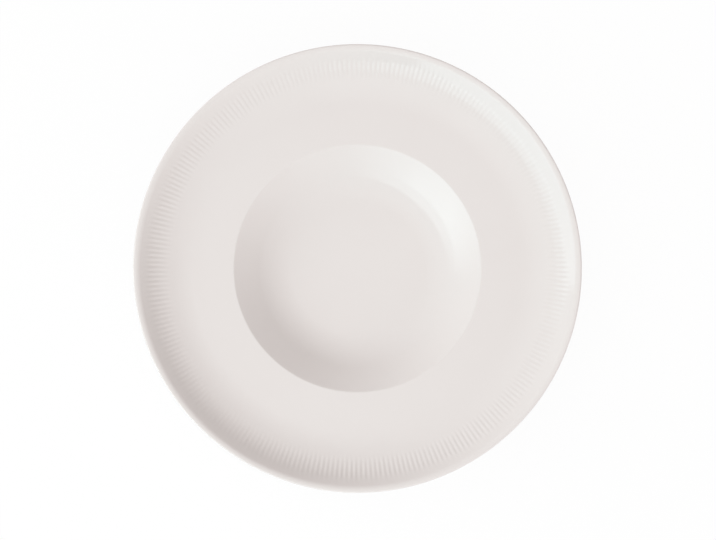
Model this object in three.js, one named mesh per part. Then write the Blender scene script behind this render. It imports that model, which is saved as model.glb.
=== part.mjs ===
// Deep porcelain plate: a round well, a wide flat flange and an upturned rim with fine radial flutes.
// Millimetres and degrees, +Z up. The origin is the middle of the foot ring's bearing plane.

import * as THREE from 'three';
import { mergeVertices } from 'three/addons/utils/BufferGeometryUtils.js';

// Outside of the lip, over the glaze
const PLATE_DIAMETER = 250;

// Well
const WELL_DIAMETER = 139;
const WELL_DEPTH = 14.7;
const WELL_WALL_ANGLE = 34;
const WELL_SWEEP_RADIUS = 34;
const WELL_EDGE_RADIUS = 1.5;
const WELL_WALL_THICKNESS = 4.5;
const FLOOR_THICKNESS = 4.5;
const HEEL_RADIUS = 11;

// Flange between the well and the rim
const FLANGE_THICKNESS = 4.2;
const FLANGE_ROOT_RADIUS = 8;

// Rim, which rises gently from the flange and bends up, and its rounded lip
const RIM_RISE = 12.1;
const RIM_ANGLE = 42;
const RIM_FOOT_ANGLE = 20;
const RIM_SWEEP_RADIUS = 49;
const RIM_BEND_HEIGHT = 4.75;
const RIM_BEND_RADIUS = 26;
const RIM_BACK_RADIUS = 40;
const RIM_THICKNESS = 3;
const LIP_SHOULDER_RADIUS = 4.5;
const LIP_RADIUS = 0.6;

// Flutes on the rim's face, measured inwards from the lip's outside
const FLUTE_COUNT = 266;
const FLUTE_DEPTH = 0.16;
const FLUTE_LIP_MARGIN = 6.6;
const FLUTE_RUN_OUT = 4.6;
const FLUTE_RUN_IN = 9.5;

// Foot ring, set in from the heel under the well
const FOOT_HEIGHT = 3.5;
const FOOT_WIDTH = 5;
const FOOT_INSET = 5;
const FOOT_ROOT_RADIUS = 1.5;
const FOOT_EDGE_RADIUS = 1.2;

// Coat of glaze
const GLAZE_THICKNESS = 0.3;

// Facets: sides of a ring on the well and foot, and on the rim, sides of one flute, and the most
// that a facet of the section leaves its arc
const WELL_SIDES = 40;
const RIM_SIDES = 64;
const FLUTE_SIDES = 2;
const ARC_TOLERANCE = 0.15;

// Share of a straight run that its two roundings may use up
const ROUNDING_SHARE = 0.999;

// Halvings in the search for a given distance from the axis
const SEARCH_HALVINGS = 50;

// Colours and gloss
const BISCUIT_WHITE = 0xebe5dc;
const GLAZE_WHITE = 0xe8e3e0;
const BISCUIT_ROUGHNESS = 0.8;
const GLAZE_ROUGHNESS = 0.12;

// Corners of the body's half section, from the middle of the well over the lip to the middle of the
// foot recess. Each corner has a place (radius, height), the radius of its rounding and the sides of
// its rings.
function sectionCorners() {
  const wall = THREE.MathUtils.degToRad(WELL_WALL_ANGLE);
  const rim = THREE.MathUtils.degToRad(RIM_ANGLE);
  const rimFoot = THREE.MathUtils.degToRad(RIM_FOOT_ANGLE);
  const floorTop = FOOT_HEIGHT + FLOOR_THICKNESS;
  const flangeTop = floorTop + WELL_DEPTH;
  const flangeBack = flangeTop - FLANGE_THICKNESS;
  const bendTop = flangeTop + RIM_BEND_HEIGHT;
  const lipTop = flangeTop + RIM_RISE;

  const outside = PLATE_DIAMETER / 2 - GLAZE_THICKNESS;
  const wellEdge = WELL_DIAMETER / 2;
  const wellRoot = wellEdge - WELL_DEPTH / Math.tan(wall);
  const shoulder = outside - LIP_RADIUS - LIP_SHOULDER_RADIUS * Math.tan(rim / 2);
  const rimBend = shoulder - (RIM_RISE - RIM_BEND_HEIGHT) / Math.tan(rim);
  const rimRoot = rimBend - RIM_BEND_HEIGHT / Math.tan(rimFoot);

  // The back of the wall and of the rim's upper part run parallel to their faces.
  const wallBack = (z) => wellRoot + (z - floorTop) / Math.tan(wall) + WELL_WALL_THICKNESS / Math.sin(wall);
  const rimBack = (z) => rimBend + (z - bendTop) / Math.tan(rim) + RIM_THICKNESS / Math.sin(rim);
  const lipBack = bendTop + (outside - rimBack(bendTop)) * Math.tan(rim);
  const flangeRoot = wallBack(flangeBack);
  const heel = wallBack(FOOT_HEIGHT);
  const footOuter = heel - FOOT_INSET;
  const footInner = footOuter - FOOT_WIDTH;

  return [
    { name: 'floor_middle', r: 0, z: floorTop, radius: 0, sides: WELL_SIDES },
    { name: 'well_root', r: wellRoot, z: floorTop, radius: WELL_SWEEP_RADIUS, sides: WELL_SIDES },
    { name: 'well_edge', r: wellEdge, z: flangeTop, radius: WELL_EDGE_RADIUS, sides: WELL_SIDES },
    { name: 'rim_root', r: rimRoot, z: flangeTop, radius: RIM_SWEEP_RADIUS, sides: RIM_SIDES },
    { name: 'rim_bend', r: rimBend, z: bendTop, radius: RIM_BEND_RADIUS, sides: RIM_SIDES },
    { name: 'lip_shoulder', r: shoulder, z: lipTop, radius: LIP_SHOULDER_RADIUS, sides: RIM_SIDES },
    { name: 'lip_top', r: outside, z: lipTop, radius: LIP_RADIUS, sides: RIM_SIDES },
    { name: 'lip_back', r: outside, z: lipBack, radius: LIP_RADIUS, sides: RIM_SIDES },
    { name: 'rim_back', r: rimBack(flangeBack), z: flangeBack, radius: RIM_BACK_RADIUS, sides: RIM_SIDES },
    { name: 'flange_root', r: flangeRoot, z: flangeBack, radius: FLANGE_ROOT_RADIUS, sides: WELL_SIDES },
    { name: 'heel', r: heel, z: FOOT_HEIGHT, radius: HEEL_RADIUS, sides: WELL_SIDES },
    { name: 'foot_outer_root', r: footOuter, z: FOOT_HEIGHT, radius: FOOT_ROOT_RADIUS, sides: WELL_SIDES },
    { name: 'foot_outer_edge', r: footOuter, z: 0, radius: FOOT_EDGE_RADIUS, sides: WELL_SIDES },
    { name: 'foot_inner_edge', r: footInner, z: 0, radius: FOOT_EDGE_RADIUS, sides: WELL_SIDES },
    { name: 'foot_inner_root', r: footInner, z: FOOT_HEIGHT, radius: FOOT_ROOT_RADIUS, sides: WELL_SIDES },
    { name: 'recess_middle', r: 0, z: FOOT_HEIGHT, radius: 0, sides: WELL_SIDES },
  ];
}

// Lines and arcs along the corners. A rounding that is too large for its straight runs is reduced.
function roundedCurves(corners) {
  const points = corners.map(({ r, z }) => new THREE.Vector2(r, z));
  const runs = points.slice(1).map((point, i) => point.clone().sub(points[i]));
  const headings = runs.map((run) => run.clone().normalize());
  const turns = corners.map((corner, i) => {
    if (i === 0 || i === corners.length - 1) {
      return 0;
    }
    return Math.atan2(headings[i - 1].cross(headings[i]), headings[i - 1].dot(headings[i]));
  });
  const wanted = corners.map(({ radius }, i) => radius * Math.tan(Math.abs(turns[i]) / 2));
  const fits = runs.map((run, i) => {
    const used = wanted[i] + wanted[i + 1];
    return Math.min(1, (ROUNDING_SHARE * run.length()) / used);
  });

  const curves = [];
  let start = points[0];
  for (let i = 1; i < corners.length - 1; i += 1) {
    const fit = Math.min(fits[i - 1], fits[i]);
    const tangent = wanted[i] * fit;
    const radius = corners[i].radius * fit;
    const arcStart = points[i].clone().addScaledVector(headings[i - 1], -tangent);
    const arcEnd = points[i].clone().addScaledVector(headings[i], tangent);
    const side = Math.sign(turns[i]);
    const toCentre = new THREE.Vector2(-headings[i - 1].y, headings[i - 1].x).multiplyScalar(side * radius);
    const centre = arcStart.clone().add(toCentre);
    const startAngle = arcStart.clone().sub(centre).angle();
    const endAngle = arcEnd.clone().sub(centre).angle();
    const arc = new THREE.EllipseCurve(centre.x, centre.y, radius, radius, startAngle, endAngle, side < 0);
    const arcStep = 2 * Math.acos(Math.max(0, 1 - ARC_TOLERANCE / radius));
    const { name, sides } = corners[i];
    curves.push({ name: 'straight', curve: new THREE.LineCurve(start, arcStart), steps: 1, sides });
    curves.push({ name, curve: arc, steps: Math.ceil(Math.abs(turns[i]) / arcStep), sides });
    start = arcEnd;
  }
  const { sides } = corners.at(-1);
  curves.push({ name: 'straight', curve: new THREE.LineCurve(start, points.at(-1)), steps: 1, sides });
  return curves;
}

// A place on the section, with the direction that points out of the body there.
function stationOn({ name, curve, sides }, t) {
  const point = curve.getPoint(t);
  const heading = curve.getTangent(t);
  const outwards = new THREE.Vector2(-heading.y, heading.x);
  return { name, point, outwards, sides, flute: 0 };
}

// The place on the face at a given distance from the axis.
function stationAtRadius(curves, radius) {
  const span = curves.find(({ curve }) => curve.getPoint(0).x <= radius && curve.getPoint(1).x >= radius);
  let low = 0;
  let high = 1;
  for (let halving = 0; halving < SEARCH_HALVINGS; halving += 1) {
    const middle = (low + high) / 2;
    if (span.curve.getPoint(middle).x < radius) {
      low = middle;
    } else {
      high = middle;
    }
  }
  return stationOn(span, low);
}

// Stations all along the section, with the fluted stretch of the rim put in.
function sectionStations() {
  const curves = roundedCurves(sectionCorners());
  const stations = [stationOn(curves[0], 0)];
  for (const span of curves) {
    for (let step = 1; step <= span.steps; step += 1) {
      stations.push(stationOn(span, step / span.steps));
    }
  }
  const fluteEnd = PLATE_DIAMETER / 2 - FLUTE_LIP_MARGIN;
  const fluteDeepest = fluteEnd - FLUTE_RUN_OUT;
  const fluteStart = fluteDeepest - FLUTE_RUN_IN;
  const fluted = [
    { ...stationAtRadius(curves, fluteStart), sides: FLUTE_COUNT },
    { ...stationAtRadius(curves, fluteDeepest), sides: FLUTE_COUNT * FLUTE_SIDES, flute: FLUTE_DEPTH },
    { ...stationAtRadius(curves, fluteEnd), sides: FLUTE_COUNT },
  ];
  const first = stations.findIndex(({ point }) => point.x >= fluteStart);
  const next = stations.findIndex(({ point }) => point.x > fluteEnd);
  stations.splice(first, next - first, ...fluted);
  return stations;
}

// Points of the ring that a station sweeps, lifted off the body. A station on the axis is one point.
function ringPoints({ point, outwards, sides, flute }, lift) {
  if (point.x === 0) {
    return [new THREE.Vector3(0, 0, point.y + outwards.y * lift)];
  }
  const points = [];
  for (let k = 0; k < sides; k += 1) {
    const groove = k % FLUTE_SIDES === 0 ? 0 : flute;
    const place = point.clone().addScaledVector(outwards, lift - groove);
    const angle = (2 * Math.PI * k) / sides;
    points.push(new THREE.Vector3(place.x * Math.cos(angle), place.x * Math.sin(angle), place.y));
  }
  return points;
}

// Triangles between two neighbouring rings, which may have different numbers of points.
function stitch(triangles, first, firstCount, second, secondCount) {
  const firstSteps = firstCount > 1 ? firstCount : 0;
  const secondSteps = secondCount > 1 ? secondCount : 0;
  let i = 0;
  let j = 0;
  while (i < firstSteps || j < secondSteps) {
    const a = first + (i % firstCount);
    const b = second + (j % secondCount);
    const stepFirst = j === secondSteps || (i < firstSteps && (i + 1) / firstCount <= (j + 1) / secondCount);
    if (stepFirst) {
      i += 1;
      triangles.push(a, b, first + (i % firstCount));
    } else {
      j += 1;
      triangles.push(a, b, second + (j % secondCount));
    }
  }
}

// Closed solid made of surfaces, each one a row of rings. A reversed surface faces the other way.
function solidOfSurfaces(surfaces) {
  const positions = [];
  const triangles = [];
  for (const { rings, reversed } of surfaces) {
    const strip = [];
    let previous = null;
    for (const ring of rings) {
      const start = positions.length / 3;
      ring.forEach((point) => positions.push(...point.toArray()));
      if (previous) {
        stitch(strip, previous.start, previous.count, start, ring.length);
      }
      previous = { start, count: ring.length };
    }
    triangles.push(...(reversed ? strip.reverse() : strip));
  }
  const geometry = new THREE.BufferGeometry();
  geometry.setAttribute('position', new THREE.Float32BufferAttribute(positions, 3));
  geometry.setIndex(triangles);
  const closed = mergeVertices(geometry);
  closed.computeVertexNormals();
  return closed;
}

function porcelainBody(stations) {
  return solidOfSurfaces([{ rings: stations.map((station) => ringPoints(station, 0)) }]);
}

// The coat runs from the middle of the well over the lip and down to the foot ring's rounded edge.
function outerGlaze(stations) {
  const edge = stations.findIndex(({ name }) => name === 'foot_outer_edge') - 1;
  const coated = stations.slice(0, edge + 1);
  const seated = coated.map((station) => ringPoints(station, 0));
  const free = coated.map((station) => ringPoints(station, GLAZE_THICKNESS));
  const end = [free.at(-1), seated.at(-1)];
  return solidOfSurfaces([{ rings: free }, { rings: seated, reversed: true }, { rings: end }]);
}

// The coat inside the foot ring runs from its rounded inner edge to the middle of the recess.
function footRecessGlaze(stations) {
  const edge = stations.findLastIndex(({ name }) => name === 'foot_inner_edge');
  const coated = stations.slice(edge);
  const seated = coated.map((station) => ringPoints(station, 0));
  const free = coated.map((station) => ringPoints(station, GLAZE_THICKNESS));
  const end = [seated[0], free[0]];
  return solidOfSurfaces([{ rings: free }, { rings: seated, reversed: true }, { rings: end }]);
}

function piece(name, geometry, color, roughness) {
  const material = new THREE.MeshStandardMaterial({ color, roughness, metalness: 0 });
  const mesh = new THREE.Mesh(geometry, material);
  mesh.name = name;
  return mesh;
}

const stations = sectionStations();
const plate = new THREE.Group();
plate.name = 'deep_plate';
plate.add(
  piece('porcelain_body', porcelainBody(stations), BISCUIT_WHITE, BISCUIT_ROUGHNESS),
  piece('outer_glaze', outerGlaze(stations), GLAZE_WHITE, GLAZE_ROUGHNESS),
  piece('foot_recess_glaze', footRecessGlaze(stations), GLAZE_WHITE, GLAZE_ROUGHNESS),
);

export default plate;
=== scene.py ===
"""Deep porcelain plate with a fluted rim: its body, its two coats of glaze and a plain studio.

Each piece is a half section turned about the plate's axis by one geometry node tree, which also
presses the flutes into the rim. Lengths are in metres, +Z is up, and the plate stands on Z = 0.
"""

import math
from collections import namedtuple

import bpy
from bpy.props import FloatProperty, FloatVectorProperty, IntProperty, PointerProperty
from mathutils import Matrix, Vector


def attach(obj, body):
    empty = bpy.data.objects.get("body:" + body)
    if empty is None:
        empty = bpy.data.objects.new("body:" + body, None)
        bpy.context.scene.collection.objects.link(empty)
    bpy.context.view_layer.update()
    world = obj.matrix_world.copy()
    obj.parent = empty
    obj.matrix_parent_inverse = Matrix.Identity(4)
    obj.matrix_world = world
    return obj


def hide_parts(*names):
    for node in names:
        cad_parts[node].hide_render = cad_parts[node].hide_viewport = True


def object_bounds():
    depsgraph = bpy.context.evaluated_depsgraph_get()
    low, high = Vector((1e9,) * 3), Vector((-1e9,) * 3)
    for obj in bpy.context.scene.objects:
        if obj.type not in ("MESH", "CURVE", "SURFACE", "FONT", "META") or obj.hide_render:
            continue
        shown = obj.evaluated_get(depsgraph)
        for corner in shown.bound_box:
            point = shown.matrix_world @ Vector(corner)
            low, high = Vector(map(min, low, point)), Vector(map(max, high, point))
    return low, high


bl_info = {
    "name": "Deep plate with a fluted rim",
    "version": (1, 0, 0),
    "blender": (4, 5, 0),
    "location": "View3D > Sidebar > Plate",
    "description": "Builds a glazed deep plate, piece by piece, and a plain studio around it",
    "category": "Object",
}

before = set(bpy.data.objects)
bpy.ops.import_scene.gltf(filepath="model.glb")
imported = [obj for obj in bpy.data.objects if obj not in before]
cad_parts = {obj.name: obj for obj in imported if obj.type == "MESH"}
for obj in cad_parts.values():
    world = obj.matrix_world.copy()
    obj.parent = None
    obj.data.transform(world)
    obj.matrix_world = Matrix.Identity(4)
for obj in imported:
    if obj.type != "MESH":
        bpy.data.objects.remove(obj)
CAD_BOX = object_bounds()
CAD_SIZE = CAD_BOX[1] - CAD_BOX[0]

BODY = "root"

PHOTO_WIDTH = 716
PHOTO_HEIGHT = 540
PLATE_MIDDLE_PX = (357.4, 268.5)
PLATE_RADIUS_PX = 224.5


# Sizes and colours that a user would change


def length(name, description, default):
    return FloatProperty(name=name, description=description, default=default, unit="LENGTH", precision=5)


def angle(name, description, degrees):
    return FloatProperty(name=name, description=description, default=math.radians(degrees), subtype="ANGLE")


def share(name, description, default):
    return FloatProperty(name=name, description=description, default=default, min=0, max=1, subtype="FACTOR")


def amount(name, description, default):
    return FloatProperty(name=name, description=description, default=default, min=0)


def colour(name, description, default):
    return FloatVectorProperty(
        name=name, description=description, default=default, size=3, min=0, max=1, subtype="COLOR"
    )


class PlateSection(bpy.types.PropertyGroup):
    """Sizes of the plate's half section and of its flutes."""

    plate_diameter: length("Plate diameter", "Across the outside of the lip, over the glaze", CAD_SIZE.x)
    well_diameter: length("Well diameter", "Across the edge where the well meets the flange", 0.139)
    well_depth: length("Well depth", "From the flange down to the well's floor", 0.0147)
    well_wall_angle: angle("Well wall angle", "Slope of the well's wall", 34)
    well_sweep_radius: length("Well sweep", "Radius from the floor into the wall", 0.034)
    well_edge_radius: length("Well edge", "Radius of the edge between the wall and the flange", 0.0015)
    well_wall_thickness: length("Well wall thickness", "Thickness of the wall, square to it", 0.0045)
    floor_thickness: length("Floor thickness", "Thickness of the well's floor", 0.0045)
    heel_radius: length("Heel radius", "Radius under the well, from the wall to the foot", 0.011)
    flange_thickness: length("Flange thickness", "Thickness of the flat flange", 0.0042)
    flange_root_radius: length("Flange root", "Radius under the flange, where it meets the wall", 0.008)
    rim_rise: length("Rim rise", "From the flange up to the top of the lip", 0.0121)
    rim_angle: angle("Rim angle", "Slope of the rim below its lip", 42)
    rim_foot_angle: angle("Rim foot angle", "Slope of the rim's lower part", 20)
    rim_sweep_radius: length("Rim sweep", "Radius from the flange into the rim's lower part", 0.049)
    rim_bend_height: length("Rim bend height", "From the flange up to the bend in the rim", 0.00475)
    rim_bend_radius: length("Rim bend", "Radius between the rim's lower part and its upper part", 0.026)
    rim_back_radius: length("Rim back", "Radius behind the rim, from the flange", 0.04)
    rim_thickness: length("Rim thickness", "Thickness of the rim, square to it", 0.003)
    lip_shoulder_radius: length("Lip shoulder", "Radius from the rim's face to the top of the lip", 0.0045)
    lip_radius: length("Lip radius", "Radius of the lip's outer edges", 0.0006)
    foot_height: length("Foot height", "From the table up to the underside of the floor", 0.0035)
    foot_width: length("Foot width", "Width of the foot ring", 0.005)
    foot_inset: length("Foot inset", "How far the foot ring stands in from the heel", 0.005)
    foot_root_radius: length("Foot root", "Radius where the foot ring meets the underside", 0.0015)
    foot_edge_radius: length("Foot edge", "Radius of the foot ring's edges", 0.0012)
    glaze_thickness: length("Glaze thickness", "Thickness of each coat of glaze", 0.0003)
    glaze_bead: length("Glaze bead", "Length over which a coat thins out at its end", 0.0005)
    flute_count: IntProperty(name="Flutes", description="Number of flutes round the rim", default=266, min=3)
    flute_depth: length("Flute depth", "Depth of a flute along its level stretch", 0.00016)
    flute_lip_margin: length("Flute margin", "From the lip's outside to the flutes' outer ends", 0.0058)
    flute_length: length("Flute length", "From a flute's inner end out to its outer end", 0.0149)
    flute_run_in: length("Flute run-in", "From a flute's inner end to its full depth", 0.006)
    flute_run_out: length("Flute run-out", "From a flute's full depth to its outer end", 0.0042)


class PlateFinish(bpy.types.PropertyGroup):
    """Colours and gloss of the glaze and of the bare porcelain."""

    glaze_white: colour("Glaze white", "Main colour of the glaze", (0.797, 0.762, 0.74))
    glaze_shade: colour("Glaze shade", "Colour where the glaze lies thicker", (0.772, 0.733, 0.709))
    glaze_roughness: share("Glaze roughness", "Roughness of the gloss glaze", 0.1)
    glaze_waviness: share("Glaze waviness", "Strength of the slow waves in the glaze", 0.05)
    bare_white: colour("Bare white", "Colour of the unglazed porcelain", (0.83, 0.78, 0.72))
    bare_wear: colour("Bare wear", "Colour of the marks on the foot ring", (0.52, 0.48, 0.43))
    bare_roughness: share("Bare roughness", "Roughness of the unglazed porcelain", 0.78)


class PlateStudio(bpy.types.PropertyGroup):
    """Camera, floor and lights. A brightness of 1 is white."""

    camera_height: length("Camera height", "From the table up to the camera", 1.5)
    floor_side: length("Floor side", "Side of the square floor", 12.0)
    floor_white: colour("Floor white", "Colour of the floor", (0.93, 0.93, 0.93))
    floor_glow: share("Floor glow", "Share of plain white in what the camera sees of the floor", 0.94)
    room_colour: colour("Room colour", "Colour of the room's light", (1.0, 0.955, 0.95))
    room_brightness: amount("Room brightness", "Brightness of the room straight above", 1.115)
    room_azimuth: angle("Room azimuth", "Direction in which the room dims most, from +X", 226)
    room_falloff: amount("Room falloff", "How much the room dims towards the window and away from it", 1.465)
    room_sides: amount("Room sides", "How much brighter the room is to either side of the window", 0.3)
    room_least: amount("Room least", "Brightness of the room's darkest part", 0.05)
    daylight: colour("Daylight", "Colour of the window and of the glow around it", (0.82, 0.975, 1.0))
    window_brightness: amount("Window brightness", "Brightness of the window's middle", 1.8)
    window_azimuth: angle("Window azimuth", "Direction of the window's middle, from +X", 213.5)
    window_width: length("Window width", "Width of the window, with its soft edges", 1.75)
    window_sill: length("Window sill", "From the table up to the window's lower edge", 0.1)
    window_top: length("Window top", "From the table up to the window's upper edge", 0.665)
    window_left_blur: share("Window left blur", "Share of the width that the soft left edge takes", 0.08)
    window_right_blur: share("Window right blur", "Share of the width that the soft right edge takes", 0.08)
    window_sill_blur: share("Window sill blur", "Share of the height that the soft lower edge takes", 0.1)
    window_top_blur: share("Window top blur", "Share of the height that the soft upper edge takes", 0.4)
    glow_brightness: amount("Glow brightness", "Brightness of the middle of the glow around the window", 1.8)
    glow_azimuth: angle("Glow azimuth", "Direction of the glow's middle, from +X", 224.5)
    glow_width: length("Glow width", "Width of the glow, with its soft edges", 2.8)
    glow_sill: length("Glow sill", "From the table up to the glow's lower edge", 0.325)
    glow_top: length("Glow top", "From the table up to the glow's upper edge", 1.3)
    glow_left_blur: share("Glow left blur", "Share of the width that the soft left edge takes", 0.48)
    glow_right_blur: share("Glow right blur", "Share of the width that the soft right edge takes", 0.48)
    glow_sill_blur: share("Glow sill blur", "Share of the height that the soft lower edge takes", 0.25)
    glow_top_blur: share("Glow top blur", "Share of the height that the soft upper edge takes", 0.25)
    lamp_distance: length("Lamp distance", "From the plate's middle to the window and its glow", 1.0)


# Half sections


Corner = namedtuple("Corner", "name r z radius")
Station = namedtuple("Station", "name r z out_r out_z")
Row = namedtuple("Row", "place outwards flute stride")

ROUNDING_SHARE = 0.999
FINE_TURN = math.radians(6)
FINE_RUN = 0.001
PLAIN_TURN = math.radians(16)
PLAIN_RUN = 0.004
FINE_FACETS = 8
PLAIN_FACETS = 2
BEAD_STEPS = 6


def section_corners(s):
    """Corners of the body's half section, from the well's middle over the lip to the foot recess."""
    floor_top = s.foot_height + s.floor_thickness
    flange_top = floor_top + s.well_depth
    flange_back = flange_top - s.flange_thickness
    bend_top = flange_top + s.rim_bend_height
    lip_top = flange_top + s.rim_rise
    wall, rim = s.well_wall_angle, s.rim_angle

    outside = s.plate_diameter / 2 - s.glaze_thickness
    well_edge = s.well_diameter / 2
    well_root = well_edge - s.well_depth / math.tan(wall)
    shoulder = outside - s.lip_radius - s.lip_shoulder_radius * math.tan(rim / 2)
    rim_bend = shoulder - (s.rim_rise - s.rim_bend_height) / math.tan(rim)
    rim_root = rim_bend - s.rim_bend_height / math.tan(s.rim_foot_angle)

    def wall_back(z):
        return well_root + (z - floor_top) / math.tan(wall) + s.well_wall_thickness / math.sin(wall)

    def rim_back(z):
        return rim_bend + (z - bend_top) / math.tan(rim) + s.rim_thickness / math.sin(rim)

    lip_back = bend_top + (outside - rim_back(bend_top)) * math.tan(rim)
    heel = wall_back(s.foot_height)
    foot_outer = heel - s.foot_inset
    foot_inner = foot_outer - s.foot_width
    return [
        Corner("floor_middle", 0, floor_top, 0),
        Corner("well_root", well_root, floor_top, s.well_sweep_radius),
        Corner("well_edge", well_edge, flange_top, s.well_edge_radius),
        Corner("rim_root", rim_root, flange_top, s.rim_sweep_radius),
        Corner("rim_bend", rim_bend, bend_top, s.rim_bend_radius),
        Corner("lip_shoulder", shoulder, lip_top, s.lip_shoulder_radius),
        Corner("lip_top", outside, lip_top, s.lip_radius),
        Corner("lip_back", outside, lip_back, s.lip_radius),
        Corner("rim_back", rim_back(flange_back), flange_back, s.rim_back_radius),
        Corner("flange_root", wall_back(flange_back), flange_back, s.flange_root_radius),
        Corner("heel", heel, s.foot_height, s.heel_radius),
        Corner("foot_outer_root", foot_outer, s.foot_height, s.foot_root_radius),
        Corner("foot_outer_edge", foot_outer, 0, s.foot_edge_radius),
        Corner("foot_inner_edge", foot_inner, 0, s.foot_edge_radius),
        Corner("foot_inner_root", foot_inner, s.foot_height, s.foot_root_radius),
        Corner("recess_middle", 0, s.foot_height, 0),
    ]


def rounded_section(corners, most_turn, most_run):
    """Stations along the corners, with an arc at each one, in steps of at most that turn and run."""
    places = [Vector((c.r, c.z)) for c in corners]
    runs = [b - a for a, b in zip(places, places[1:])]
    headings = [run.normalized() for run in runs]
    turns = [0, *(a.angle_signed(b) for a, b in zip(headings, headings[1:])), 0]
    tangents = [c.radius * math.tan(abs(t) / 2) for c, t in zip(corners, turns)]
    fits = [
        min(1, ROUNDING_SHARE * run.length / (a + b)) for run, a, b in zip(runs, tangents, tangents[1:])
    ]

    first, last = corners[0], corners[-1]
    stations = [Station(first.name, first.r, first.z, 0, 1)]
    for i, corner in enumerate(corners[1:-1], start=1):
        fit = min(fits[i - 1], fits[i])
        radius = corner.radius * fit
        heading = headings[i - 1]
        outwards = Vector((-heading.y, heading.x))
        side = -math.copysign(1, turns[i])
        arc_start = places[i] - heading * tangents[i] * fit
        turn = abs(turns[i])
        steps = math.ceil(max(turn / most_turn, turn * radius / most_run))
        for step in range(steps + 1):
            a = turn * step / steps
            place = arc_start + radius * (math.sin(a) * heading + side * (1 - math.cos(a)) * outwards)
            out = math.cos(a) * outwards - side * math.sin(a) * heading
            stations.append(Station(corner.name, place.x, place.y, out.x, out.y))
    stations.append(Station(last.name, last.r, last.z, 0, -1))
    return stations


def smooth(t):
    """0 to 1, level at both ends."""
    t = min(max(t, 0), 1)
    return t * t * (3 - 2 * t)


def flute_share(s, station):
    """How deep a flute is at a station, as a share of its full depth. The back has none."""
    if station.out_z <= 0:
        return 0
    end = s.plate_diameter / 2 - s.flute_lip_margin
    start = end - s.flute_length
    return min(smooth((station.r - start) / s.flute_run_in), smooth((end - station.r) / s.flute_run_out))


def row_at(s, station, lift, facets, piece_facets):
    """A row of the turned piece, lifted off the body. Fluted rows have more points than plain ones."""
    flute = flute_share(s, station)
    stride = piece_facets // facets if flute > 0 else piece_facets
    out = Vector((station.out_r, 0, station.out_z))
    place = Vector((station.r, 0, station.z)) + out * lift
    return Row(place, out, flute, stride)


def start_of_arc(stations, name):
    return next(i for i, station in enumerate(stations) if station.name == name)


def end_of_arc(stations, name):
    return max(i for i, station in enumerate(stations) if station.name == name)


def fine_and_plain(s):
    """The body's stations twice: close together for a coat's free face, wider apart for its inner face."""
    corners = section_corners(s)
    return rounded_section(corners, FINE_TURN, FINE_RUN), rounded_section(corners, PLAIN_TURN, PLAIN_RUN)


def beaded(coated, bead):
    """The coat's stations, with more of them along its last stretch, each with its share of thickness.

    The coat ends at the last station, and thins out there in a round bead.
    """
    before, edge = coated[-2:]
    run = Vector((edge.r - before.r, edge.z - before.z))
    rows = [(station, 1) for station in coated[:-1]]
    start = max(0, 1 - bead / run.length)
    for step in range(BEAD_STEPS + 1):
        t = step / BEAD_STEPS
        reach = start + (1 - start) * math.sin(t * math.pi / 2)
        place = edge._replace(r=before.r + run.x * reach, z=before.z + run.y * reach)
        rows.append((place, math.cos(t * math.pi / 2)))
    return rows


def coat_rows(s, fine, plain):
    """Rows of a coat: out along its free face, round its end, and back along the porcelain."""
    rows = []
    for station, thickness in beaded(fine, s.glaze_bead):
        rows.append(row_at(s, station, s.glaze_thickness * thickness, FINE_FACETS, FINE_FACETS))
    for station in reversed(plain[:-1]):
        rows.append(row_at(s, station, 0, PLAIN_FACETS, FINE_FACETS))
    return rows


# Geometry node tree that turns a half section


FLUTE_FLANKS = 2
MERGE_REACH = 1e-7


def node(tree, kind, settings=None, **inputs):
    """Adds a node. An input is a value, or the socket that feeds it, under the input's name or place."""
    made = tree.nodes.new(kind)
    for key, value in (settings or {}).items():
        setattr(made, key, value)
    for key, value in inputs.items():
        place = key.removeprefix("i")
        socket = made.inputs[int(place) if place.isdigit() else key.replace("_", " ")]
        if isinstance(value, bpy.types.NodeSocket):
            tree.links.new(value, socket)
        else:
            socket.default_value = value
    return made


def whole(tree, operation, a, b):
    return node(tree, "FunctionNodeIntegerMath", {"operation": operation}, i0=a, i1=b).outputs[0]


def number(tree, operation, a, b=0.0):
    return node(tree, "ShaderNodeMath", {"operation": operation}, i0=a, i1=b).outputs[0]


def attribute_field(tree, name, kind):
    return node(tree, "GeometryNodeInputNamedAttribute", {"data_type": kind}, Name=name).outputs["Attribute"]


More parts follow.
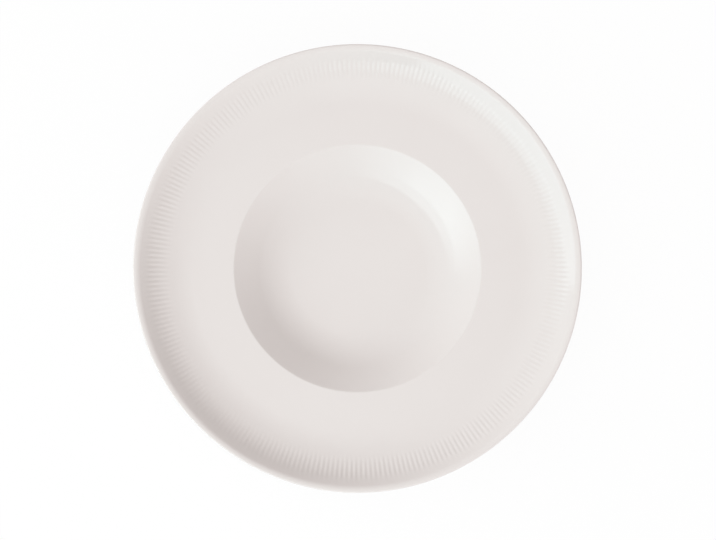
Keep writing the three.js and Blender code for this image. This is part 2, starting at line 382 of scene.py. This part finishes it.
def turning_tree():
    """Turns the rows of a half section about the axis, and presses flutes into the rows that have them."""
    tree = bpy.data.node_groups.new("Turned and fluted", "GeometryNodeTree")
    sockets = {}
    for name, kind in [
        ("Geometry", "NodeSocketGeometry"),
        ("Flutes", "NodeSocketInt"),
        ("Facets per flute", "NodeSocketInt"),
        ("Flute depth", "NodeSocketFloat"),
        ("Material", "NodeSocketMaterial"),
    ]:
        sockets[name] = tree.interface.new_socket(name, in_out="INPUT", socket_type=kind).identifier
    tree.interface.new_socket("Geometry", in_out="OUTPUT", socket_type="NodeSocketGeometry")
    given = tree.nodes.new("NodeGroupInput").outputs
    section = given["Geometry"]

    rows = node(tree, "GeometryNodeAttributeDomainSize", i0=section).outputs["Point Count"]
    columns = whole(tree, "MULTIPLY", given["Flutes"], given["Facets per flute"])
    grid = node(
        tree, "GeometryNodeMeshGrid", Vertices_X=whole(tree, "ADD", columns, 1), Vertices_Y=rows
    ).outputs["Mesh"]
    index = tree.nodes.new("GeometryNodeInputIndex").outputs[0]
    row = whole(tree, "MODULO", index, rows)
    column = whole(tree, "DIVIDE_FLOOR", index, rows)

    def of_row(field, kind):
        sample = node(tree, "GeometryNodeSampleIndex", {"data_type": kind}, Geometry=section, Index=row)
        tree.links.new(field, sample.inputs["Value"])
        return sample.outputs["Value"]

    place = of_row(tree.nodes.new("GeometryNodeInputPosition").outputs[0], "FLOAT_VECTOR")
    outwards = of_row(attribute_field(tree, "outwards", "FLOAT_VECTOR"), "FLOAT_VECTOR")
    flute = of_row(attribute_field(tree, "flute", "FLOAT"), "FLOAT")
    stride = of_row(attribute_field(tree, "stride", "INT"), "INT")

    # A row with a stride has its points gathered on every so many spokes, and merged later.
    half = whole(tree, "DIVIDE", stride, 2)
    gathered = whole(tree, "DIVIDE_FLOOR", whole(tree, "ADD", column, half), stride)
    spoke = whole(tree, "MODULO", whole(tree, "MULTIPLY", gathered, stride), columns)
    turn = number(tree, "DIVIDE", number(tree, "MULTIPLY", spoke, math.tau), columns)
    across = number(tree, "FRACT", number(tree, "DIVIDE", spoke, given["Facets per flute"]))
    flank = number(tree, "PINGPONG", number(tree, "MULTIPLY", across, FLUTE_FLANKS), 1.0)
    groove = number(tree, "MULTIPLY", flank, flute)
    sunk = number(tree, "MULTIPLY", groove, given["Flute depth"])
    pressed = node(tree, "ShaderNodeVectorMath", {"operation": "SCALE"}, i0=outwards, Scale=sunk).outputs[0]
    pressed = node(tree, "ShaderNodeVectorMath", {"operation": "SUBTRACT"}, i0=place, i1=pressed).outputs[0]
    parts = node(tree, "ShaderNodeSeparateXYZ", i0=pressed).outputs
    turned = node(
        tree,
        "ShaderNodeCombineXYZ",
        X=number(tree, "MULTIPLY", parts["X"], number(tree, "COSINE", turn)),
        Y=number(tree, "MULTIPLY", parts["X"], number(tree, "SINE", turn)),
        Z=parts["Z"],
    ).outputs[0]

    mesh = node(tree, "GeometryNodeSetPosition", Geometry=grid, Position=turned).outputs[0]
    mesh = node(
        tree,
        "GeometryNodeStoreNamedAttribute",
        {"data_type": "FLOAT"},
        Geometry=mesh,
        Name="groove",
        Value=groove,
    ).outputs[0]
    mesh = node(tree, "GeometryNodeMergeByDistance", Geometry=mesh, Distance=MERGE_REACH).outputs[0]
    mesh = node(tree, "GeometryNodeFlipFaces", Mesh=mesh).outputs[0]
    mesh = node(tree, "GeometryNodeSetShadeSmooth", Geometry=mesh).outputs[0]
    mesh = node(tree, "GeometryNodeRealizeInstances", Geometry=mesh).outputs[0]
    mesh = node(tree, "GeometryNodeSetMaterial", Geometry=mesh, Material=given["Material"]).outputs[0]
    node(tree, "NodeGroupOutput", Geometry=mesh)
    return tree, sockets


def turned_piece(context, name, rows, facets, material):
    """An object whose mesh is the rows turned about the axis."""
    s = context.scene.plate_section
    section = bpy.data.meshes.new(name + "_section")
    section.from_pydata([row.place for row in rows], [(i, i + 1) for i in range(len(rows) - 1)], [])
    section.attributes.new("outwards", "FLOAT_VECTOR", "POINT")
    section.attributes.new("flute", "FLOAT", "POINT")
    section.attributes.new("stride", "INT", "POINT")
    section.attributes["outwards"].data.foreach_set("vector", [x for row in rows for x in row.outwards])
    section.attributes["flute"].data.foreach_set("value", [row.flute for row in rows])
    section.attributes["stride"].data.foreach_set("value", [row.stride for row in rows])

    piece = bpy.data.objects.new(name, section)
    context.scene.collection.objects.link(piece)
    tree, sockets = turning_tree()
    modifier = piece.modifiers.new("Turned and fluted", "NODES")
    modifier.node_group = tree
    modifier[sockets["Flutes"]] = s.flute_count
    modifier[sockets["Facets per flute"]] = facets
    modifier[sockets["Flute depth"]] = s.flute_depth
    modifier[sockets["Material"]] = material
    depsgraph = context.evaluated_depsgraph_get()
    mesh = bpy.data.meshes.new_from_object(
        piece.evaluated_get(depsgraph), preserve_all_data_layers=True, depsgraph=depsgraph
    )
    piece.modifiers.clear()
    piece.data = mesh
    mesh.name = name
    # Set Material leaves an empty slot before its own.
    mesh.materials.pop(index=0)
    bpy.data.meshes.remove(section)
    if not mesh.polygons:
        raise RuntimeError(f"{name} came out empty")
    return piece


def stand_in(piece, cad_node):
    """Lets the piece ride on the plate's body and stand for one of its solids."""
    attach(piece, BODY)
    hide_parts(cad_node)


# Materials


CLOUD_SCALE = 26
CLOUD_DETAIL = 3
CLOUD_RANGE = (0.3, 0.7)
CLOUD_SHADE = 0.25
POOL_SHADE = 0.7
GLOSS_SCALE = 90
GLOSS_DETAIL = 2
GLOSS_RANGE = (0.3, 0.7)
GLOSS_SPREAD = 0.2
WAVE_SCALE = 60
WAVE_DETAIL = 1
WAVE_HEIGHT = 0.002
RUBBED_HEIGHTS = (0.0001, 0.0006)
WEAR_SCALE = 240
WEAR_DETAIL = 4
WEAR_RANGE = (0.45, 0.75)
WEAR_SHADE = 0.6
GRAIN_SCALE = 3500
GRAIN_DETAIL = 2
GRAIN_STRENGTH = 0.25
GRAIN_HEIGHT = 0.0002
PAPER_ROUGHNESS = 0.9


def new_material(name):
    material = bpy.data.materials.new(name)
    material.use_nodes = True
    return material, material.node_tree, material.node_tree.nodes["Principled BSDF"]


def noise(tree, coordinates, scale, detail):
    made = node(tree, "ShaderNodeTexNoise", Vector=coordinates, Scale=scale, Detail=detail)
    return made.outputs["Fac"]


def spread(tree, value, low, high, out_low, out_high):
    return node(
        tree,
        "ShaderNodeMapRange",
        Value=value,
        From_Min=low,
        From_Max=high,
        To_Min=out_low,
        To_Max=out_high,
    ).outputs["Result"]


def mix_colours(tree, factor, first, second):
    """Blends two colours. Their sockets on the Mix node share names with others, so they go by place."""
    made = node(tree, "ShaderNodeMix", {"data_type": "RGBA"}, i0=factor, i6=(*first, 1), i7=(*second, 1))
    return made.outputs[2]


def glaze_material(finish):
    """Gloss white glaze: slow clouds of tone, deeper colour in the flutes, and faint waves."""
    material, tree, shader = new_material("gloss_white_glaze")
    place = tree.nodes.new("ShaderNodeTexCoord").outputs["Object"]
    clouds = spread(tree, noise(tree, place, CLOUD_SCALE, CLOUD_DETAIL), *CLOUD_RANGE, 0.0, CLOUD_SHADE)
    groove = node(tree, "ShaderNodeAttribute", {"attribute_name": "groove"}).outputs["Fac"]
    pooled = spread(tree, groove, 0, 1, 0.0, POOL_SHADE)
    thick = number(tree, "MAXIMUM", clouds, pooled)
    tone = mix_colours(tree, thick, finish.glaze_white, finish.glaze_shade)
    tree.links.new(tone, shader.inputs["Base Color"])
    smoothest = (1 - GLOSS_SPREAD) * finish.glaze_roughness
    roughest = (1 + GLOSS_SPREAD) * finish.glaze_roughness
    gloss = spread(tree, noise(tree, place, GLOSS_SCALE, GLOSS_DETAIL), *GLOSS_RANGE, smoothest, roughest)
    tree.links.new(gloss, shader.inputs["Roughness"])
    waves = node(
        tree,
        "ShaderNodeBump",
        Strength=finish.glaze_waviness,
        Distance=WAVE_HEIGHT,
        Height=noise(tree, place, WAVE_SCALE, WAVE_DETAIL),
    ).outputs[0]
    tree.links.new(waves, shader.inputs["Normal"])
    return material


def bare_material(finish):
    """Unglazed porcelain: matt and grainy, rubbed grey where it stands on the table."""
    material, tree, shader = new_material("bare_porcelain")
    place = tree.nodes.new("ShaderNodeTexCoord").outputs["Object"]
    height = node(tree, "ShaderNodeSeparateXYZ", i0=place).outputs["Z"]
    touching = spread(tree, height, *RUBBED_HEIGHTS, 1.0, 0.0)
    patches = spread(tree, noise(tree, place, WEAR_SCALE, WEAR_DETAIL), *WEAR_RANGE, 0.0, WEAR_SHADE)
    worn = number(tree, "MULTIPLY", touching, patches)
    tone = mix_colours(tree, worn, finish.bare_white, finish.bare_wear)
    tree.links.new(tone, shader.inputs["Base Color"])
    shader.inputs["Roughness"].default_value = finish.bare_roughness
    grain = node(
        tree,
        "ShaderNodeBump",
        Strength=GRAIN_STRENGTH,
        Distance=GRAIN_HEIGHT,
        Height=noise(tree, place, GRAIN_SCALE, GRAIN_DETAIL),
    ).outputs[0]
    tree.links.new(grain, shader.inputs["Normal"])
    return material


def shared_material(name, make, finish):
    return bpy.data.materials.get(name) or make(finish)


def floor_material(studio):
    """Pale paper. Part of what is seen of it, also mirrored, is plain white. The rest keeps the shadow."""
    material, tree, shader = new_material("pale_paper")
    shader.inputs["Base Color"].default_value = (*studio.floor_white, 1)
    shader.inputs["Roughness"].default_value = PAPER_ROUGHNESS
    shader.inputs["Specular IOR Level"].default_value = 0.0
    rays = tree.nodes.new("ShaderNodeLightPath").outputs
    seen = number(tree, "MAXIMUM", rays["Is Camera Ray"], rays["Is Glossy Ray"])
    seen = number(tree, "MAXIMUM", seen, rays["Is Transmission Ray"])
    glow = node(tree, "ShaderNodeEmission", Color=(1, 1, 1, 1), Strength=1.0).outputs[0]
    blend = node(
        tree,
        "ShaderNodeMixShader",
        i0=number(tree, "MULTIPLY", seen, studio.floor_glow),
        i1=shader.outputs[0],
        i2=glow,
    ).outputs[0]
    tree.links.new(blend, tree.nodes["Material Output"].inputs["Surface"])
    return material


# Studio


def build_camera(context, studio, section):
    """Camera straight above, framed so that the lip has the photograph's place and size."""
    metres_per_px = section.plate_diameter / 2 / PLATE_RADIUS_PX
    across = (PHOTO_WIDTH / 2 - PLATE_MIDDLE_PX[0]) * metres_per_px
    along = (PLATE_MIDDLE_PX[1] - PHOTO_HEIGHT / 2) * metres_per_px
    lip_height = CAD_BOX[1].z - section.lip_radius
    data = bpy.data.cameras.new("camera")
    data.sensor_fit = "HORIZONTAL"
    data.lens = data.sensor_width * (studio.camera_height - lip_height) / (PHOTO_WIDTH * metres_per_px)
    camera = bpy.data.objects.new("camera", data)
    context.scene.collection.objects.link(camera)
    camera.location = (across, along, studio.camera_height)
    context.scene.camera = camera


def soft_edge(tree, place, start, end):
    """Changes smoothly from 0 to 1 as the place goes from the start to the end."""
    made = node(
        tree,
        "ShaderNodeMapRange",
        {"interpolation_type": "SMOOTHSTEP"},
        Value=place,
        From_Min=min(start, end),
        From_Max=max(start, end),
        To_Min=0.0 if start < end else 1.0,
        To_Max=1.0 if start < end else 0.0,
    )
    return made.outputs["Result"]


def build_lamp(context, studio, name):
    """An upright lamp beside the plate, whose brightness fades out towards its edges."""

    def given(key):
        return getattr(studio, f"{name}_{key}")

    width = given("width")
    height = given("top") - given("sill")
    data = bpy.data.lights.new(name, "AREA")
    data.shape = "RECTANGLE"
    data.size = width
    data.size_y = height
    data.energy = math.pi * width * height
    data.use_nodes = True
    tree = data.node_tree
    spot = tree.nodes.new("ShaderNodeNewGeometry").outputs["Parametric"]
    parts = node(tree, "ShaderNodeSeparateXYZ", i0=spot).outputs
    fades = [
        soft_edge(tree, parts["X"], 0, given("right_blur")),
        soft_edge(tree, parts["X"], 1, 1 - given("left_blur")),
        soft_edge(tree, parts["Y"], 0, given("sill_blur")),
        soft_edge(tree, parts["Y"], 1, 1 - given("top_blur")),
    ]
    strength = given("brightness")
    for fade in fades:
        strength = number(tree, "MULTIPLY", strength, fade)
    emission = tree.nodes["Emission"]
    emission.inputs["Color"].default_value = (*studio.daylight, 1)
    tree.links.new(strength, emission.inputs["Strength"])

    lamp = bpy.data.objects.new(name, data)
    context.scene.collection.objects.link(lamp)
    away = Vector((math.cos(given("azimuth")), math.sin(given("azimuth")), 0))
    lamp.location = away * studio.lamp_distance
    lamp.location.z = (given("sill") + given("top")) / 2
    lamp.rotation_euler = (-away).to_track_quat("-Z", "Y").to_euler()
    lamp.visible_camera = False


def build_room(context, studio):
    """Light from all round, dimmer towards the window and away from it than overhead and to the sides."""
    world = bpy.data.worlds.new("room")
    world.use_nodes = True
    context.scene.world = world
    tree = world.node_tree
    looking = tree.nodes.new("ShaderNodeTexCoord").outputs["Generated"]
    turned = node(
        tree,
        "ShaderNodeVectorRotate",
        {"rotation_type": "Z_AXIS"},
        Vector=looking,
        Angle=-studio.room_azimuth,
    ).outputs[0]
    parts = node(tree, "ShaderNodeSeparateXYZ", i0=turned).outputs
    towards, aside = parts["X"], parts["Y"]
    falloff = number(tree, "MULTIPLY", number(tree, "MULTIPLY", towards, towards), -studio.room_falloff)
    sides = number(tree, "MULTIPLY", number(tree, "MULTIPLY", aside, aside), studio.room_sides)
    room = number(tree, "ADD", number(tree, "ADD", falloff, studio.room_brightness), sides)
    background = tree.nodes["Background"]
    background.inputs["Color"].default_value = (*studio.room_colour, 1)
    tree.links.new(number(tree, "MAXIMUM", room, studio.room_least), background.inputs["Strength"])


def build_floor(context, studio):
    half = studio.floor_side / 2
    mesh = bpy.data.meshes.new("floor")
    corners = [(-half, -half, 0), (half, -half, 0), (half, half, 0), (-half, half, 0)]
    mesh.from_pydata(corners, [], [range(len(corners))])
    mesh.materials.append(floor_material(studio))
    floor = bpy.data.objects.new("floor", mesh)
    context.scene.collection.objects.link(floor)


# Operators


class PLATE_OT_porcelain_body(bpy.types.Operator):
    """Turn the porcelain body, whose foot ring stays bare"""

    bl_idname = "plate.porcelain_body"
    bl_label = "Porcelain body"

    def execute(self, context):
        s = context.scene.plate_section
        stations = rounded_section(section_corners(s), PLAIN_TURN, PLAIN_RUN)
        rows = [row_at(s, station, 0, PLAIN_FACETS, PLAIN_FACETS) for station in stations]
        material = shared_material("bare_porcelain", bare_material, context.scene.plate_finish)
        piece = turned_piece(context, "plate_body", rows, PLAIN_FACETS, material)
        stand_in(piece, "porcelain_body")
        return {"FINISHED"}


class PLATE_OT_outer_glaze(bpy.types.Operator):
    """Turn the coat of glaze that covers the face, the lip and the back"""

    bl_idname = "plate.outer_glaze"
    bl_label = "Outer glaze"

    def execute(self, context):
        s = context.scene.plate_section
        fine, plain = fine_and_plain(s)
        fine = fine[: start_of_arc(fine, "foot_outer_edge") + 1]
        plain = plain[: start_of_arc(plain, "foot_outer_edge") + 1]
        material = shared_material("gloss_white_glaze", glaze_material, context.scene.plate_finish)
        piece = turned_piece(context, "plate_glaze", coat_rows(s, fine, plain), FINE_FACETS, material)
        stand_in(piece, "outer_glaze")
        return {"FINISHED"}


class PLATE_OT_recess_glaze(bpy.types.Operator):
    """Turn the separate coat of glaze inside the foot ring"""

    bl_idname = "plate.recess_glaze"
    bl_label = "Recess glaze"

    def execute(self, context):
        s = context.scene.plate_section
        fine, plain = fine_and_plain(s)
        fine = fine[end_of_arc(fine, "foot_inner_edge") :]
        plain = plain[end_of_arc(plain, "foot_inner_edge") :]
        rows = list(reversed(coat_rows(s, fine[::-1], plain[::-1])))
        material = shared_material("gloss_white_glaze", glaze_material, context.scene.plate_finish)
        piece = turned_piece(context, "recess_glaze", rows, FINE_FACETS, material)
        stand_in(piece, "foot_recess_glaze")
        return {"FINISHED"}


class PLATE_OT_studio(bpy.types.Operator):
    """Set up the camera, the pale floor and soft light"""

    bl_idname = "plate.studio"
    bl_label = "Studio"

    def execute(self, context):
        studio = context.scene.plate_studio
        context.scene.view_settings.view_transform = "Standard"
        build_camera(context, studio, context.scene.plate_section)
        build_room(context, studio)
        build_lamp(context, studio, "window")
        build_lamp(context, studio, "glow")
        build_floor(context, studio)
        return {"FINISHED"}


class PLATE_PT_sidebar(bpy.types.Panel):
    """Sizes, finishes and pieces of the plate"""

    bl_idname = "PLATE_PT_sidebar"
    bl_label = "Deep plate"
    bl_space_type = "VIEW_3D"
    bl_region_type = "UI"
    bl_category = "Plate"

    def draw(self, context):
        for operator in OPERATORS:
            self.layout.operator(operator.bl_idname)
        for name, group in GROUPS.items():
            column = self.layout.column()
            for key in group.__annotations__:
                column.prop(getattr(context.scene, name), key)


OPERATORS = (
    PLATE_OT_porcelain_body,
    PLATE_OT_outer_glaze,
    PLATE_OT_recess_glaze,
    PLATE_OT_studio,
)
GROUPS = {"plate_section": PlateSection, "plate_finish": PlateFinish, "plate_studio": PlateStudio}


def register():
    for cls in (*GROUPS.values(), *OPERATORS, PLATE_PT_sidebar):
        bpy.utils.register_class(cls)
    for name, group in GROUPS.items():
        setattr(bpy.types.Scene, name, PointerProperty(type=group))


def unregister():
    for name in GROUPS:
        delattr(bpy.types.Scene, name)
    for cls in (PLATE_PT_sidebar, *reversed(OPERATORS), *reversed(GROUPS.values())):
        bpy.utils.unregister_class(cls)


def main():
    register()
    bpy.ops.plate.porcelain_body()
    bpy.ops.plate.outer_glaze()
    bpy.ops.plate.recess_glaze()
    bpy.ops.plate.studio()


if __name__ == "__main__":
    main()
